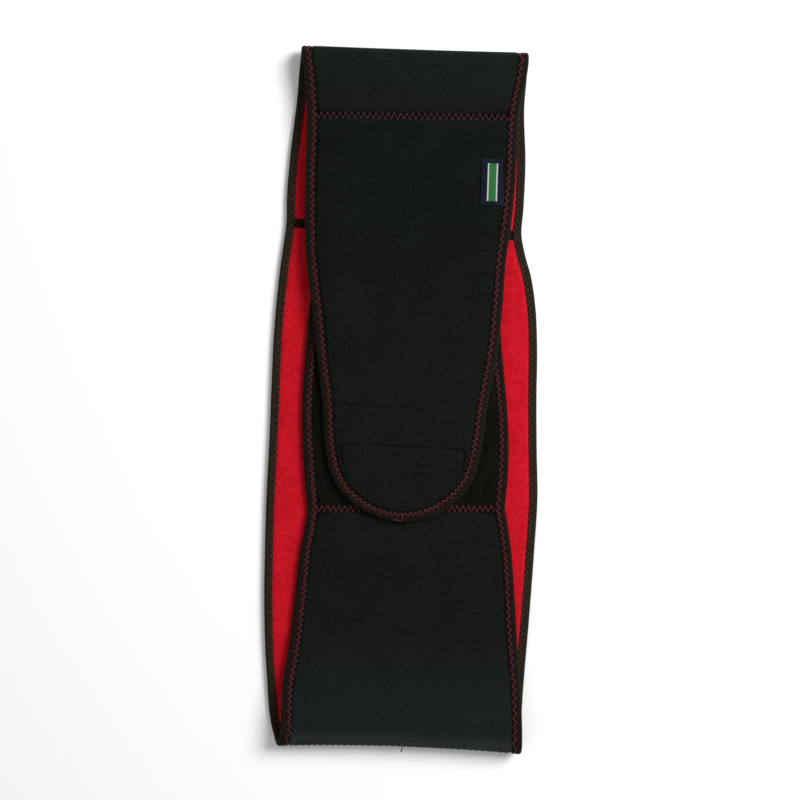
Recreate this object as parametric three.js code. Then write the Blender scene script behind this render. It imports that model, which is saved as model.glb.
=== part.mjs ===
// A foam back belt, closed by its hook panel and laid flat on its back panel.
// The belt runs along Y, its height on the body runs along X, and +Z is up.
// Lengths are in millimetres.
import * as THREE from 'three';
import { mergeVertices } from 'three/addons/utils/BufferGeometryUtils.js';

// Driving sizes of the laid belt
const LAID_LENGTH = 515;
const BELT_HEIGHT = 200;
const THICKNESS = 4.5;
const FOLD_RADIUS = 4;
const BACK_SEAM_Y = 126;
const FRONT_SEAM_Y = 207;
const LOWER_SEAM_Y = -80;
const TONGUE_TIP_Y = -90;
const LOOP_TIP_Y = 196;
const HOOK_TOP_Y = -34;

// Layers and trims
const LINING = 1;
const LINING_GAP = 0.15;
const BINDING_WIDTH = 7;
const BINDING_TAPE = 0.8;
const BINDING_BACK = 0.9;
const EDGE_RISE = 1.5;
const TAPE_WIDTH = 5.8;
const TAPE_PROUD = 0.25;
const HOOK_THICKNESS = 1;
const HOOK_INSET = 10.8;
const HOOK_CORNER = 4;
const LABEL_LENGTH = 34;
const LABEL_FROM_SEAM = 29.5;
const LABEL_WIDTH = 18.6;
const LABEL_THICKNESS = 0.5;

// Clearances
const GAP = 0.15;
const SEAM_GAP = 0.3;
const LAY_GAP = 0.5;
const SAME_POINT = 1e-4;

// Heights of the inner face of each layer
const BACK_Z = THICKNESS;
const LOOP_Z = BACK_Z + LAY_GAP;
const FOLD_TOP_Z = BACK_Z + 2 * FOLD_RADIUS;
const FOLD_MID_Z = BACK_Z + FOLD_RADIUS;
const TONGUE_Z = LOOP_Z + THICKNESS + HOOK_THICKNESS + 2 * GAP;

// Where the folds start, and how far the folded layers take to lie down
const HALF_LENGTH = LAID_LENGTH / 2;
const HALF_HEIGHT = BELT_HEIGHT / 2;
const FOLD_START = HALF_LENGTH - FOLD_RADIUS - THICKNESS;
const FOLD_STEPS = 8;
const LOWER_SETTLE = 84;
const UPPER_SETTLE = 34;

// Edge tables. at is the place between the two ends that each table names, as a share.
// left and right are the two edges, as shares of half the belt's height.
// lean lifts the left end of a crosswise line and lowers the right, as a share of half the length.
const BACK_EDGES = [
  { at: 0, left: 0.872, right: 0.934, lean: 0 },
  { at: 0.035, left: 0.915, right: 0.934, lean: 0 },
  { at: 0.1, left: 0.952, right: 0.94, lean: 0 },
  { at: 0.24, left: 0.99, right: 0.967, lean: 0 },
  { at: 0.37, left: 1, right: 0.988, lean: 0 },
  { at: 0.48, left: 1, right: 1, lean: 0 },
  { at: 0.57, left: 0.993, right: 0.984, lean: 0 },
  { at: 0.68, left: 0.99, right: 0.969, lean: 0.001 },
  { at: 0.776, left: 0.985, right: 0.962, lean: 0.003 },
  { at: 0.855, left: 0.97, right: 0.941, lean: 0.005 },
  { at: 0.92, left: 0.95, right: 0.898, lean: 0.006 },
  { at: 0.96, left: 0.933, right: 0.852, lean: 0.007 },
  { at: 1, left: 0.919, right: 0.82, lean: 0.007 },
];
const UPPER_EDGES = [
  { at: 0, left: 0.919, right: 0.82, lean: 0.007 },
  { at: 0.15, left: 0.921, right: 0.828, lean: 0.005 },
  { at: 0.42, left: 0.905, right: 0.832, lean: 0.002 },
  { at: 0.75, left: 0.87, right: 0.81, lean: 0 },
  { at: 1, left: 0.852, right: 0.824, lean: 0 },
];
const ROOT_EDGES = [
  { at: 0, left: 0.836, right: 0.822, lean: 0 },
  { at: 0.3, left: 0.814, right: 0.808, lean: 0 },
  { at: 0.6, left: 0.799, right: 0.786, lean: -0.003 },
  { at: 1, left: 0.787, right: 0.764, lean: -0.006 },
];
const TONGUE_EDGES = [
  { at: 0, left: 0.787, right: 0.764, lean: -0.006 },
  { at: 0.04, left: 0.783, right: 0.761, lean: -0.006 },
  { at: 0.16, left: 0.782, right: 0.755, lean: -0.003 },
  { at: 0.26, left: 0.776, right: 0.734, lean: 0 },
  { at: 0.35, left: 0.758, right: 0.704, lean: 0 },
  { at: 0.42, left: 0.731, right: 0.695, lean: 0 },
  { at: 0.48, left: 0.703, right: 0.687, lean: 0 },
  { at: 0.59, left: 0.66, right: 0.658, lean: 0 },
  { at: 0.71, left: 0.606, right: 0.603, lean: 0 },
  { at: 0.81, left: 0.579, right: 0.571, lean: 0 },
  { at: 0.85, left: 0.558, right: 0.549, lean: 0 },
  { at: 0.89, left: 0.52, right: 0.514, lean: 0 },
  { at: 0.925, left: 0.457, right: 0.448, lean: 0 },
  { at: 0.955, left: 0.368, right: 0.353, lean: 0 },
  { at: 0.979, left: 0.252, right: 0.245, lean: 0 },
  { at: 0.993, left: 0.135, right: 0.138, lean: 0 },
  { at: 1, left: 0.005, right: -0.005, lean: 0 },
];
const LOOP_EDGES = [
  { at: 0, left: 0.69, right: 0.76, lean: -0.009 },
  { at: 0.055, left: 0.711, right: 0.769, lean: -0.009 },
  { at: 0.13, left: 0.733, right: 0.775, lean: -0.006 },
  { at: 0.21, left: 0.749, right: 0.767, lean: -0.002 },
  { at: 0.28, left: 0.754, right: 0.75, lean: 0 },
  { at: 0.365, left: 0.746, right: 0.722, lean: 0 },
  { at: 0.45, left: 0.737, right: 0.693, lean: 0 },
  { at: 0.52, left: 0.727, right: 0.676, lean: 0 },
  { at: 0.64, left: 0.685, right: 0.635, lean: 0 },
  { at: 0.77, left: 0.625, right: 0.575, lean: 0 },
  { at: 0.87, left: 0.555, right: 0.505, lean: 0 },
  { at: 0.93, left: 0.445, right: 0.395, lean: 0 },
  { at: 0.965, left: 0.325, right: 0.275, lean: 0 },
  { at: 0.99, left: 0.175, right: 0.125, lean: 0 },
  { at: 1, left: 0.025, right: -0.025, lean: 0 },
];
const LOWER_EDGES = [
  { at: 0, left: 0.838, right: 0.935, lean: 0 },
  { at: 0.1, left: 0.834, right: 0.929, lean: 0 },
  { at: 0.22, left: 0.829, right: 0.915, lean: 0 },
  { at: 0.38, left: 0.796, right: 0.889, lean: -0.001 },
  { at: 0.53, left: 0.774, right: 0.866, lean: -0.003 },
  { at: 0.68, left: 0.753, right: 0.842, lean: -0.005 },
  { at: 0.82, left: 0.732, right: 0.815, lean: -0.008 },
  { at: 0.93, left: 0.702, right: 0.783, lean: -0.009 },
  { at: 1, left: 0.69, right: 0.76, lean: -0.009 },
];

const FABRIC = { color: 0x1a2020, roughness: 0.92, metalness: 0 };
const VELOUR = { color: 0x0f110f, roughness: 0.97, metalness: 0 };
const RED = { color: 0xbd1030, roughness: 0.95, metalness: 0 };
const TRIM = { color: 0x17130e, roughness: 0.85, metalness: 0 };
const HOOK = { color: 0x111111, roughness: 0.8, metalness: 0 };
const LABEL = { color: 0x1e2748, roughness: 0.75, metalness: 0 };

function clamp01(value) {
  return Math.min(1, Math.max(0, value));
}

function smooth(share) {
  const t = clamp01(share);
  return t * t * (3 - 2 * t);
}

// Height of the inner face where a layer comes off a fold and lies down
function settledHeight(fromFold, settle, restZ) {
  return FOLD_TOP_Z + (restZ - FOLD_TOP_Z) * smooth(fromFold / settle);
}

function settleSlope(fromFold, settle, restZ) {
  const t = clamp01(fromFold / settle);
  return ((restZ - FOLD_TOP_Z) * 6 * t * (1 - t)) / settle;
}

// One crosswise station of the belt: the middle of the inner face and the outward normal
function station(y, z, normal, edges) {
  const lift = edges.lean * HALF_LENGTH;
  return {
    y,
    normal,
    left: new THREE.Vector3(-edges.left * HALF_HEIGHT, y + lift, z),
    right: new THREE.Vector3(edges.right * HALF_HEIGHT, y - lift, z),
  };
}

const DOWN = new THREE.Vector3(0, 0, -1);
const UP = new THREE.Vector3(0, 0, 1);

// Rows of a flat stretch between two places along Y, at one height
function flatRows(edges, startY, endY, z, normal) {
  return edges.map((row) => station(startY + (endY - startY) * row.at, z, normal, row));
}

// Rows of a top layer that comes off a fold at foldY and runs towards endY
function settlingRows(edges, foldY, endY, settle, restZ) {
  const away = Math.sign(endY - foldY);
  return edges.map((row) => {
    const run = Math.abs(endY - foldY) * row.at;
    const slope = settleSlope(run, settle, restZ) * away;
    const normal = new THREE.Vector3(0, -slope, 1).normalize();
    return station(foldY + away * run, settledHeight(run, settle, restZ), normal, row);
  });
}

// Rows round a fold at the given angles from straight up. side is -1 for the bottom fold.
function foldRows(first, last, angles, side) {
  return angles.map((degrees, i) => {
    const share = (i + 1) / (angles.length + 1);
    const angle = THREE.MathUtils.degToRad(degrees);
    const normal = new THREE.Vector3(0, side * Math.sin(angle), Math.cos(angle));
    const edges = {
      left: first.left + (last.left - first.left) * share,
      right: first.right + (last.right - first.right) * share,
      lean: 0,
    };
    const y = side * FOLD_START + FOLD_RADIUS * normal.y;
    return { ...station(y, FOLD_MID_Z + FOLD_RADIUS * normal.z, normal, edges), inFold: true };
  });
}

// Adds a station at y to a flat stretch, between the two rows that it falls between
function insertRow(rows, y) {
  const next = rows.findIndex((row, i) => i > 0 && (row.y - y) * (rows[0].y - y) <= 0);
  const [a, b] = [rows[next - 1], rows[next]];
  const share = (y - a.y) / (b.y - a.y);
  const left = a.left.clone().lerp(b.left, share);
  const right = a.right.clone().lerp(b.right, share);
  const row = { y, normal: a.normal, left, right };
  rows.splice(next, 0, row);
  return row;
}

// The whole belt, from the hidden end of the loop panel to the tip of the tongue
const loopRows = flatRows(LOOP_EDGES, LOWER_SEAM_Y, LOOP_TIP_Y, LOOP_Z, UP).reverse();
const lowerTop = settlingRows(LOWER_EDGES, -FOLD_START, LOWER_SEAM_Y, LOWER_SETTLE, LOOP_Z).reverse();
const backRows = flatRows(BACK_EDGES, -FOLD_START, BACK_SEAM_Y, BACK_Z, DOWN);
const upperRows = flatRows(UPPER_EDGES, BACK_SEAM_Y, FOLD_START, BACK_Z, DOWN);
const rootRows = settlingRows(ROOT_EDGES, FOLD_START, FRONT_SEAM_Y, UPPER_SETTLE, TONGUE_Z);
const tongueRows = flatRows(TONGUE_EDGES, FRONT_SEAM_Y, TONGUE_TIP_Y, TONGUE_Z, UP);

// The lower back seam sits half way round the bottom fold, under its tape
const tapeAngle = THREE.MathUtils.radToDeg(TAPE_WIDTH / 2 / FOLD_RADIUS);
const besideTape = [(90 - tapeAngle) / 2, 90 - tapeAngle, 90 - tapeAngle / 2];
const lowerAngles = [...besideTape, 90, ...besideTape.map((angle) => 180 - angle).reverse()];
const lowerFold = foldRows(LOWER_EDGES[0], BACK_EDGES[0], lowerAngles, -1);
const upperAngles = Array.from({ length: FOLD_STEPS - 1 }, (unused, i) => 180 - (180 * (i + 1)) / FOLD_STEPS);
const upperFold = foldRows(UPPER_EDGES[UPPER_EDGES.length - 1], ROOT_EDGES[0], upperAngles, 1);
const foldSeamRow = lowerFold[besideTape.length];
const foldTapeRows = [lowerFold[1], lowerFold[lowerFold.length - 2]];

// Stations that trims need in between
const backTapeRows = [
  insertRow(backRows, BACK_SEAM_Y - TAPE_WIDTH / 2),
  insertRow(upperRows, BACK_SEAM_Y + TAPE_WIDTH / 2),
];
const hookRow = insertRow(tongueRows, HOOK_TOP_Y);
insertRow(tongueRows, HOOK_TOP_Y - HOOK_CORNER);
const labelRow = insertRow(tongueRows, FRONT_SEAM_Y - LABEL_FROM_SEAM - LABEL_LENGTH / 2);

const belt = [
  ...loopRows,
  ...lowerTop.slice(1),
  ...lowerFold,
  ...backRows,
  ...upperRows.slice(1),
  ...upperFold,
  ...rootRows,
  ...tongueRows.slice(1),
];
const LOOP_SEAM = loopRows.length - 1;
const FOLD_SEAM = belt.indexOf(foldSeamRow);
const BACK_SEAM = belt.indexOf(backRows[backRows.length - 1]);
const FRONT_SEAM = belt.indexOf(rootRows[rootRows.length - 1]);
const TONGUE_END = belt.length - 1;
const cutRows = [belt[LOOP_SEAM], belt[BACK_SEAM], belt[FRONT_SEAM], ...backTapeRows];

// Directions at each station: along the belt, and from each edge into the sheet
function middle(row) {
  return row.left.clone().lerp(row.right, 0.5);
}

function inwardAt(index, side) {
  const last = belt.length - 1;
  if (index === 0 || index === last) {
    return middle(belt[index === 0 ? 1 : last - 1]).sub(middle(belt[index])).normalize();
  }
  const nearFold = [index - 1, index, index + 1].some((i) => belt[i].inFold);
  if (nearFold || cutRows.includes(belt[index])) {
    const across = belt[index].right.clone().sub(belt[index].left).normalize();
    return side === 'left' ? across : across.negate();
  }
  const along = belt[index + 1][side].clone().sub(belt[index - 1][side]);
  const inward = belt[index].normal.clone().cross(along).normalize();
  return side === 'left' ? inward : inward.negate();
}

belt.forEach((row, index) => {
  const before = middle(belt[Math.max(index - 1, 0)]);
  const after = middle(belt[Math.min(index + 1, belt.length - 1)]);
  row.along = after.sub(before).normalize();
  row.inward = { left: inwardAt(index, 'left'), right: inwardAt(index, 'right') };
  row.isTip = index === 0 || index === belt.length - 1;
});

// A point of the sheet: inset from an edge, and a height above the inner face
function pointAt(row, side, inset, height) {
  return row[side].clone().addScaledVector(row.inward[side], inset).addScaledVector(row.normal, height);
}

// Adds a triangle unless two of its corners are the same point
function addTriangle(list, a, b, c) {
  const same = (p, q) => p.distanceTo(q) < SAME_POINT;
  if (same(a, b) || same(b, c) || same(a, c)) {
    return;
  }
  list.push(a, b, c);
}

function addQuad(list, a, b, c, d) {
  addTriangle(list, a, b, c);
  addTriangle(list, a, c, d);
}

function geometryFrom(list) {
  const geometry = new THREE.BufferGeometry().setFromPoints(list);
  const merged = mergeVertices(geometry, SAME_POINT);
  merged.computeVertexNormals();
  return merged;
}

// Closes the cut end of a sheet, whose ring of section points is flat, facing the given way
function addEndWall(list, ring, row, facing) {
  const across = row.right.clone().sub(row.left).normalize();
  const flat = ring.map((p) => {
    const offset = p.clone().sub(row.left);
    return new THREE.Vector2(offset.dot(across), offset.dot(row.normal));
  });
  const outward = row.along.clone().multiplyScalar(facing);
  THREE.ShapeUtils.triangulateShape(flat, []).forEach((corners) => {
    const [a, b, c] = corners.map((k) => ring[k]);
    const facesOut = b.clone().sub(a).cross(c.clone().sub(a)).dot(outward) > 0;
    addTriangle(list, a, facesOut ? b : c, facesOut ? c : b);
  });
}

// A sheet between two stations. section runs from the middle of the inner face to the middle
// of the outer face on one side: inset from the edge, and height above the inner face.
function sheet(first, last, section, options = {}) {
  const { startGap = 0, endGap = 0, cornerInset = 0 } = options;
  const rings = [];
  for (let i = first; i <= last; i += 1) {
    const row = belt[i];
    const extra = i === first ? cornerInset : 0;
    const shift = i === first ? startGap : i === last ? -endGap : 0;
    const left = section.map(([inset, height]) => pointAt(row, 'left', inset + extra, height));
    const right = section.map(([inset, height]) => pointAt(row, 'right', inset + extra, height));
    const ring = [...left, ...right.reverse()];
    if (row.isTip) {
      ring.forEach((p, k) => {
        p.copy(ring[Math.min(k, ring.length - 1 - k)]);
      });
    }
    ring.forEach((p) => p.addScaledVector(row.along, shift));
    rings.push(ring);
  }
  const list = [];
  for (let i = 0; i + 1 < rings.length; i += 1) {
    const here = rings[i];
    const next = rings[i + 1];
    here.forEach((p, k) => {
      const m = (k + 1) % here.length;
      addQuad(list, p, next[k], next[m], here[m]);
    });
  }
  if (!belt[first].isTip) {
    addEndWall(list, rings[0], belt[first], -1);
  }
  if (!belt[last].isTip) {
    addEndWall(list, rings[rings.length - 1], belt[last], 1);
  }
  return geometryFrom(list);
}

// Foam laminate, squeezed thin under its binding; bare on both faces, or lined on the inner one
const FOAM_EDGE = BINDING_BACK + GAP;
const FOAM_STEP = BINDING_WIDTH + GAP;
const FOAM_TOP = THICKNESS - BINDING_TAPE - GAP;
const LINED_FOAM = [
  [FOAM_EDGE, LINING + LINING_GAP],
  [FOAM_EDGE, FOAM_TOP - GAP],
  [FOAM_STEP, FOAM_TOP],
  [FOAM_STEP + EDGE_RISE, THICKNESS],
];
const BARE_FOAM = [
  [FOAM_STEP + EDGE_RISE, 0],
  [FOAM_STEP, BINDING_TAPE + GAP],
  [FOAM_EDGE, BINDING_TAPE + 2 * GAP],
  ...LINED_FOAM.slice(1),
];
const LINING_SHEET = [
  [FOAM_STEP, 0],
  [FOAM_STEP, LINING],
];
const SEAM_TAPE = [
  [FOAM_STEP, -TAPE_PROUD],
  [FOAM_STEP, LINING],
];

// The binding: a folded tape that wraps the whole edge of the belt in one closed run
function binding() {
  const bevel = BINDING_TAPE / 2;
  const top = THICKNESS;
  const profile = [
    [0, bevel],
    [bevel, 0],
    [BINDING_WIDTH, 0],
    [BINDING_WIDTH, BINDING_TAPE],
    [BINDING_BACK, BINDING_TAPE],
    [BINDING_BACK, top - BINDING_TAPE],
    [BINDING_WIDTH, top - BINDING_TAPE],
    [BINDING_WIDTH, top],
    [bevel, top],
    [0, top - bevel],
  ];
  const stops = belt.map((row) => [row, 'left']);
  for (let i = belt.length - 2; i > 0; i -= 1) {
    stops.push([belt[i], 'right']);
  }
  const rings = stops.map(([row, side]) => profile.map(([inset, height]) => pointAt(row, side, inset, height)));
  const list = [];
  rings.forEach((here, i) => {
    const next = rings[(i + 1) % rings.length];
    here.forEach((p, k) => {
      const m = (k + 1) % here.length;
      addQuad(list, p, here[m], next[m], next[k]);
    });
  });
  return geometryFrom(list);
}

// The woven label lies on the tongue, its long side against the right binding
function label() {
  const shape = new THREE.BoxGeometry(LABEL_WIDTH, LABEL_LENGTH, LABEL_THICKNESS);
  const x = labelRow.right.x - FOAM_STEP - LABEL_WIDTH / 2;
  return shape.translate(x, labelRow.y, TONGUE_Z + THICKNESS + GAP + LABEL_THICKNESS / 2);
}

// The hook patch is sewn under the end of the tongue and follows its outline
function hookPatch() {
  const section = [
    [HOOK_INSET, -GAP - HOOK_THICKNESS],
    [HOOK_INSET, -GAP],
  ];
  return sheet(belt.indexOf(hookRow), TONGUE_END, section, { cornerInset: HOOK_CORNER });
}

const part = new THREE.Group();

function add(name, geometry, look) {
  const mesh = new THREE.Mesh(geometry, new THREE.MeshStandardMaterial(look));
  mesh.name = name;
  part.add(mesh);
}

const seam = SEAM_GAP / 2;
const [foldTapeStart, foldTapeEnd] = foldTapeRows.map((row) => belt.indexOf(row));
const [backTapeStart, backTapeEnd] = backTapeRows.map((row) => belt.indexOf(row));
add('back_panel', sheet(FOLD_SEAM, BACK_SEAM, LINED_FOAM, { startGap: seam, endGap: seam }), FABRIC);
add('upper_side_panel', sheet(BACK_SEAM, FRONT_SEAM, LINED_FOAM, { startGap: seam, endGap: seam }), FABRIC);
add('lower_side_panel', sheet(LOOP_SEAM, FOLD_SEAM, LINED_FOAM, { startGap: seam, endGap: seam }), FABRIC);
add('closure_tongue', sheet(FRONT_SEAM, TONGUE_END, BARE_FOAM, { startGap: seam }), FABRIC);
add('loop_panel', sheet(0, LOOP_SEAM, BARE_FOAM, { endGap: seam }), VELOUR);
add('back_lining', sheet(foldTapeEnd, backTapeStart, LINING_SHEET, { startGap: GAP, endGap: GAP }), RED);
add('upper_side_lining', sheet(backTapeEnd, FRONT_SEAM, LINING_SHEET, { startGap: GAP, endGap: seam }), RED);
add('lower_side_lining', sheet(LOOP_SEAM, foldTapeStart, LINING_SHEET, { startGap: seam, endGap: GAP }), RED);
add('edge_binding', binding(), TRIM);
add('upper_seam_tape', sheet(backTapeStart, backTapeEnd, SEAM_TAPE), TRIM);
add('lower_seam_tape', sheet(foldTapeStart, foldTapeEnd, SEAM_TAPE), TRIM);
add('hook_patch', hookPatch(), HOOK);
add('woven_label', label(), LABEL);

export default part;
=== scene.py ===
"""A foam back belt, closed by its hook panel and laid flat on its back panel.

The belt runs along Y, and its height on the body runs along X. Sizes are in millimetres
until a mesh is made. Every piece follows one unrolled plan of the belt: x is the place
across it, s the place along it from the hidden end of the loop panel to the tip of the
tongue, and n the height above the inner face.
"""

import math

import bmesh
import bpy
import numpy as np
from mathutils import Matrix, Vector


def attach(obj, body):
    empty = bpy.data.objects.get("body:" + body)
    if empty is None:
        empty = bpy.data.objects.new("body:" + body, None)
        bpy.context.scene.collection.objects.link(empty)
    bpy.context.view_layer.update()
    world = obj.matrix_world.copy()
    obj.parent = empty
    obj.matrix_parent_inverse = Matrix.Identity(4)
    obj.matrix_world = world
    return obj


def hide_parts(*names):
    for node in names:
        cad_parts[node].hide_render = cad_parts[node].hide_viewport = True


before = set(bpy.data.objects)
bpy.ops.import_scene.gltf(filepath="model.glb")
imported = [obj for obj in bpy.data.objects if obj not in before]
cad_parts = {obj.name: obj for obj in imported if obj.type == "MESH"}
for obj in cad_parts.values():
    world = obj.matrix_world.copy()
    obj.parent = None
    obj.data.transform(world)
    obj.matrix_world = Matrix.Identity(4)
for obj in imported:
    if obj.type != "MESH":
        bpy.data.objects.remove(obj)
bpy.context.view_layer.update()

MM = 0.001

# Sizes of the laid belt, as in the part's source
LAID_LENGTH = 515.0
HALF_LENGTH = LAID_LENGTH / 2
HALF_HEIGHT = 100.0
THICKNESS = 4.5
FOLD_RADIUS = 4.0
BACK_SEAM_Y = 126.0
FRONT_SEAM_Y = 207.0
LOWER_SEAM_Y = -80.0
TONGUE_TIP_Y = -90.0
LOOP_TIP_Y = 196.0
HOOK_TOP_Y = -34.0
LOOP_Z = 5.0
TONGUE_Z = 10.8
FOLD_TOP_Z = THICKNESS + 2 * FOLD_RADIUS
FOLD_MID_Z = THICKNESS + FOLD_RADIUS
FOLD_START = HALF_LENGTH - FOLD_RADIUS - THICKNESS
LOWER_SETTLE = 84.0
UPPER_SETTLE = 34.0
SEAM_GAP = 0.15

# Places along the unrolled belt. The two zero places are where y is 0 on the front layers
LOOP_SEAM_S = LOOP_TIP_Y - LOWER_SEAM_Y
LOW_FOLD_S = LOOP_SEAM_S + LOWER_SEAM_Y + FOLD_START
LOWER_ZERO_S = LOW_FOLD_S - FOLD_START
HALF_TURN = math.pi * FOLD_RADIUS
FOLD_SEAM_S = LOW_FOLD_S + HALF_TURN / 2
BACK_S = LOW_FOLD_S + HALF_TURN
BACK_SEAM_S = BACK_S + FOLD_START + BACK_SEAM_Y
TOP_FOLD_S = BACK_SEAM_S + FOLD_START - BACK_SEAM_Y
ROOT_S = TOP_FOLD_S + HALF_TURN
TOP_MIDDLE_S = (TOP_FOLD_S + ROOT_S) / 2
FRONT_SEAM_S = ROOT_S + FOLD_START - FRONT_SEAM_Y
TONGUE_ZERO_S = FRONT_SEAM_S + FRONT_SEAM_Y
HOOK_TOP_S = TONGUE_ZERO_S - HOOK_TOP_Y
TIP_S = TONGUE_ZERO_S - TONGUE_TIP_Y

# Edge tables: share of the stretch, left edge, right edge, lean of a crosswise line
BACK_EDGES = (
    (0, 0.893, 0.934, 0), (0.035, 0.925, 0.934, 0), (0.065, 0.939, 0.936, 0),
    (0.1, 0.951, 0.94, 0), (0.15, 0.969, 0.949, 0), (0.24, 0.99, 0.967, 0),
    (0.37, 1, 0.988, 0), (0.48, 1, 1, 0), (0.57, 0.993, 0.984, 0),
    (0.68, 0.99, 0.969, 0.001), (0.776, 0.985, 0.962, 0.003),
    (0.855, 0.97, 0.941, 0.005), (0.92, 0.95, 0.898, 0.006),
    (0.96, 0.933, 0.852, 0.007), (1, 0.919, 0.82, 0.007),
)
UPPER_EDGES = (
    (0, 0.919, 0.82, 0.007), (0.15, 0.921, 0.828, 0.005), (0.42, 0.905, 0.832, 0.002),
    (0.75, 0.87, 0.81, 0), (1, 0.852, 0.824, 0),
)
ROOT_EDGES = (
    (0, 0.836, 0.822, 0), (0.3, 0.814, 0.808, 0), (0.6, 0.799, 0.786, -0.003),
    (1, 0.787, 0.764, -0.006),
)
TONGUE_EDGES = (
    (0, 0.787, 0.764, -0.006), (0.04, 0.783, 0.761, -0.006), (0.16, 0.782, 0.755, -0.003),
    (0.26, 0.776, 0.734, 0), (0.35, 0.758, 0.704, 0), (0.42, 0.731, 0.695, 0),
    (0.48, 0.703, 0.687, 0), (0.59, 0.66, 0.658, 0), (0.71, 0.606, 0.603, 0),
    (0.81, 0.579, 0.571, 0), (0.85, 0.558, 0.549, 0), (0.89, 0.52, 0.514, 0),
    (0.925, 0.457, 0.448, 0), (0.955, 0.368, 0.353, 0), (0.979, 0.252, 0.245, 0),
    (0.993, 0.135, 0.138, 0), (1, 0.005, -0.005, 0),
)
LOOP_EDGES = (
    (0, 0.69, 0.76, -0.009), (0.055, 0.711, 0.769, -0.009), (0.13, 0.733, 0.775, -0.006),
    (0.21, 0.749, 0.767, -0.002), (0.28, 0.754, 0.75, 0), (0.365, 0.746, 0.722, 0),
    (0.45, 0.737, 0.693, 0), (0.52, 0.727, 0.676, 0), (0.64, 0.685, 0.635, 0),
    (0.77, 0.625, 0.575, 0), (0.87, 0.555, 0.505, 0), (0.93, 0.445, 0.395, 0),
    (0.965, 0.325, 0.275, 0), (0.99, 0.175, 0.125, 0), (1, 0.025, -0.025, 0),
)
LOWER_EDGES = (
    (0, 0.838, 0.935, 0), (0.1, 0.834, 0.929, 0), (0.22, 0.829, 0.915, 0),
    (0.38, 0.796, 0.889, -0.001), (0.53, 0.774, 0.866, -0.003),
    (0.68, 0.753, 0.842, -0.005), (0.82, 0.732, 0.815, -0.008),
    (0.93, 0.702, 0.783, -0.009), (1, 0.69, 0.76, -0.009),
)

# Stretches of the tongue with narrow creases, which need close rows: from s, to s
FINE_STRETCHES = (
    (TONGUE_ZERO_S - 5.0, TONGUE_ZERO_S + 13.0),
    (HOOK_TOP_S - 4.0, HOOK_TOP_S + 9.0),
)

# Rows of the meshes. Outside the fine stretches, one fine row in FINE_PER_ROW is kept
ROW_STEP = 2.2
FOLD_ROW_STEP = 0.9
FOLD_MARGIN = 4
FINE_ROW_STEP = 0.6
FINE_PER_ROW = 4
SEAM_ROWS = (0.15, 0.6, 1.1, 1.7, 2.4, 3.05, 3.8, 4.6)
SEAM_CLEAR = 5.2

# Trims and stitches
THREAD_RADIUS = 0.3
THREAD_SIDES = 6
SEAM_STITCH_HALF = 2.6
SEAM_TAPE_HALF = 2.9

# Length of one zigzag along each edge: place s, length. The hand-guided sewing is uneven
EDGE_PITCHES = {
    "left": (
        (0, 4.8), (230, 4.7), (270, 3.9), (330, 4.25), (440, 4.4), (470, 5.0), (600, 5.3),
        (780, 5.2), (850, 4.8), (1100, 4.75), (1140, 5.1), (1200, 4.7), (1306, 4.4),
    ),
    "right": (
        (0, 4.8), (150, 4.3), (240, 5.0), (340, 4.95), (390, 5.6), (440, 6.1), (470, 5.1),
        (560, 4.45), (640, 4.85), (700, 4.5), (780, 4.75), (840, 4.5), (960, 5.3), (1040, 4.6),
        (1095, 5.3), (1130, 4.7), (1185, 5.2), (1225, 4.4), (1306, 4.2),
    ),
}
# Middle line of the zigzag in from the edge, on the outer and the inner face: place s, inset
OUTER_STITCH_LINE = {
    "left": ((0, 5.2), (300, 5.4), (335, 6.1), (440, 6.2), (470, 5.3), (1306, 5.2)),
    "right": ((0, 5.3), (1200, 5.4), (1306, 5.6)),
}
INNER_STITCH_LINE = {
    "left": ((0, 5.5), (1306, 5.5)),
    "right": ((0, 4.95), (1306, 4.95)),
}


def smooth(share):
    """Goes from 0 to 1 with no corner at either end."""
    t = np.clip(share, 0.0, 1.0)
    return t * t * (3.0 - 2.0 * t)


def bell(distance, width):
    """A smooth bump that is 1 at no distance."""
    return np.exp(-0.5 * (distance / width) ** 2)


RIPPLE_WAVES = 6
RIPPLE_PEAK = 3.2


def ripple(x, s, size, seed):
    """A gentle unevenness between about -1 and 1, the same on each run."""
    rng = np.random.default_rng(seed)
    total = np.zeros(np.broadcast(x, s).shape)
    for _ in range(RIPPLE_WAVES):
        angle = rng.uniform(0, math.pi)
        wave = 2 * math.pi / (size * rng.uniform(0.7, 1.6))
        phase = rng.uniform(0, 2 * math.pi)
        total += np.sin((x * math.cos(angle) + s * math.sin(angle)) * wave + phase)
    return total / RIPPLE_PEAK


# The path of the inner face in the Y-Z plane
def settled(run, settle, rest_z):
    """Height, and slope along the run, of a layer that comes off a fold and lies down."""
    t = np.clip(run / settle, 0.0, 1.0)
    drop = rest_z - FOLD_TOP_Z
    return FOLD_TOP_Z + drop * smooth(t), drop * 6 * t * (1 - t) / settle


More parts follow.
